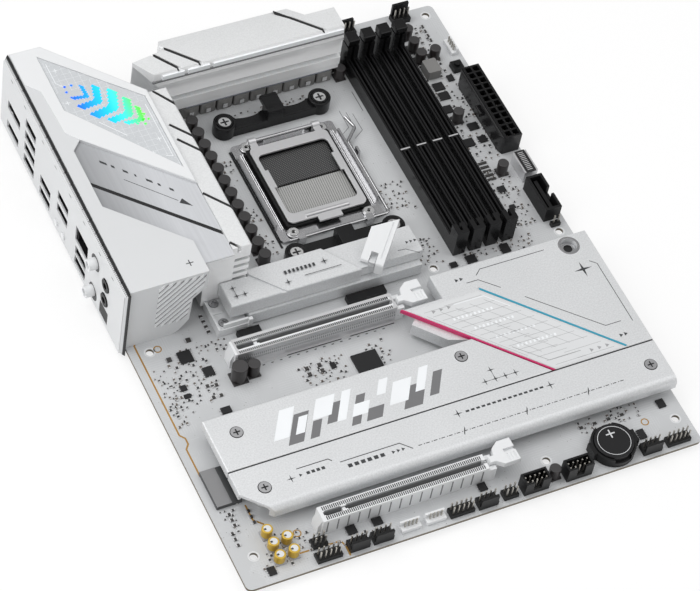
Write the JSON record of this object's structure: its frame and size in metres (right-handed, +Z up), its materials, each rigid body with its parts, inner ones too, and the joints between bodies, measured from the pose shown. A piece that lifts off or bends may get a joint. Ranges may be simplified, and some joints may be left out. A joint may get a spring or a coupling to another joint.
{
  "type": "motherboard",
  "caption": "Full-size desktop circuit board with processor socket, memory and card slots, silver heatsinks and covers, rear panel under a shroud, and edge connectors.",
  "frame": {"origin": "centre of the mounting hole in the slot-end rear corner, on the board's underside", "axes": "+X from the rear panel to the front edge, +Y from the slot end to the power end, +Z up from the component side"},
  "size_m": [0.2521, 0.3074, 0.0477],
  "materials": {
    "pcb": "light grey solder mask",
    "steel": "polished to satin",
    "black_plastic": "fine moulded",
    "dark_plastic": "moulded",
    "light_plastic": "moulded, pale grey",
    "contact_gold": "plated",
    "silver_aluminium": "fine blasted, silver",
    "dark_metal": "satin dark grey",
    "white_metal": "satin silver white",
    "window": "clear over a coloured panel",
    "trim": "coloured line",
    "pad": "soft",
    "cap_gold": "gold sleeve"
  },
  "bodies": {
    "board": {"circuit_board": "pcb", "socket_backplate": "steel", "socket_housing": "black_plastic", "socket_contacts": "contact_gold", "socket_frame": "steel", "socket_screws": "steel", "cooler_brackets": "black_plastic", "dimm_slots": "black_plastic", "pcie_slot_upper": "light_plastic", "pcie_slot_lower": "light_plastic", "pcie_armor": "steel", "slot_contacts": "contact_gold", "m2_base": "dark_metal", "m2_bracket": "light_plastic", "m2_sockets": "black_plastic", "m2_upper_plate": "silver_aluminium", "m2_lower_plate": "silver_aluminium", "chipset_heatsink": "silver_aluminium", "chipset_trim": "trim", "io_shield": "white_metal", "io_shroud": "white_metal", "shroud_window": "window", "rear_ports": "black_plastic", "port_tongues": "dark_plastic", "ethernet_jack": "black_plastic", "audio_jacks": "black_plastic", "antenna_connectors": "white_metal", "switch_bodies": "black_plastic", "vrm_heatsink_left": "silver_aluminium", "vrm_heatsink_top": "silver_aluminium", "thermal_pads": "pad", "chokes": "dark_metal", "heatsink_screws": "steel", "atx_power_connector": "black_plastic", "cpu_power_connectors": "black_plastic", "connector_pins": "contact_gold", "header_blocks": "black_plastic", "white_headers": "light_plastic", "usb_c_header": "steel", "battery_holder": "black_plastic", "capacitors": "dark_plastic", "audio_capacitors": "cap_gold", "audio_shield": "dark_metal", "ic_chips": "dark_plastic", "smd_parts": "dark_plastic"},
    "load_plate": {"load_plate": "steel"},
    "load_lever": {"load_lever": "steel"},
    "dimm_latch_1": {"dimm_latch_1": "black_plastic"},
    "dimm_latch_2": {"dimm_latch_2": "black_plastic"},
    "dimm_latch_3": {"dimm_latch_3": "black_plastic"},
    "dimm_latch_4": {"dimm_latch_4": "black_plastic"},
    "pcie_latch_upper": {"pcie_latch_upper": "light_plastic"},
    "pcie_latch_lower": {"pcie_latch_lower": "light_plastic"},
    "m2_heatsink": {"m2_heatsink": "silver_aluminium"},
    "m2_release_lever": {"m2_release_lever": "silver_aluminium"},
    "battery": {"battery": "steel"},
    "start_button": {"start_button": "light_plastic"},
    "flashback_button": {"flashback_button": "dark_plastic"},
    "clear_button": {"clear_button": "dark_plastic"}
  },
  "joints": [
    {"name": "load_plate_hinge", "type": "hinge", "parent": "board", "child": "load_plate", "pos_m": [0.11734, 0.22719, 0.0069], "axis": [-1, 0, 0], "range_deg": [0, 105]},
    {"name": "load_lever_hinge", "type": "hinge", "parent": "board", "child": "load_lever", "pos_m": [0.11734, 0.16249, 0.005], "axis": [1, 0, 0], "range_deg": [0, 105]},
    {"name": "m2_heatsink_lift", "type": "slide", "parent": "board", "child": "m2_heatsink", "axis": [0, 0, 1], "range_m": [0, 0.022]},
    {"name": "m2_release_hinge", "type": "hinge", "parent": "m2_heatsink", "child": "m2_release_lever", "pos_m": [0.11934, 0.12739, 0.0183], "axis": [-0.7193, 0.6947, 0], "range_deg": [0, 37]},
    {"name": "battery_lift", "type": "slide", "parent": "board", "child": "battery", "axis": [0, 0, 1], "range_m": [0, 0.02]},
    {"name": "start_button_press", "type": "slide", "parent": "board", "child": "start_button", "axis": [0, 0, -1], "range_m": [0, 0.0004], "stiffness_N_per_m": 1500},
    {"name": "flashback_button_press", "type": "slide", "parent": "board", "child": "flashback_button", "axis": [1, 0, 0], "range_m": [0, 0.0005], "stiffness_N_per_m": 1500},
    {"name": "clear_button_press", "type": "slide", "parent": "board", "child": "clear_button", "axis": [1, 0, 0], "range_m": [0, 0.0005], "stiffness_N_per_m": 1500},
    {"name": "dimm_latch_1_hinge", "type": "hinge", "parent": "board", "child": "dimm_latch_1", "pos_m": [0.17104, 0.26292, 0.0066], "axis": [-1, 0, 0], "range_deg": [0, 30]},
    {"name": "dimm_latch_2_hinge", "type": "hinge", "parent": "board", "child": "dimm_latch_2", "pos_m": [0.18034, 0.26292, 0.0066], "axis": [-1, 0, 0], "range_deg": [0, 30]},
    {"name": "dimm_latch_3_hinge", "type": "hinge", "parent": "board", "child": "dimm_latch_3", "pos_m": [0.18964, 0.26292, 0.0066], "axis": [-1, 0, 0], "range_deg": [0, 30]},
    {"name": "dimm_latch_4_hinge", "type": "hinge", "parent": "board", "child": "dimm_latch_4", "pos_m": [0.19894, 0.26292, 0.0066], "axis": [-1, 0, 0], "range_deg": [0, 30]},
    {"name": "pcie_latch_upper_hinge", "type": "hinge", "parent": "board", "child": "pcie_latch_upper", "pos_m": [0.12425, 0.10579, 0.0056], "axis": [0, 1, 0], "range_deg": [0, 25]},
    {"name": "pcie_latch_lower_hinge", "type": "hinge", "parent": "board", "child": "pcie_latch_lower", "pos_m": [0.12425, 0.00379, 0.0056], "axis": [0, 1, 0], "range_deg": [0, 25]}
  ]
}
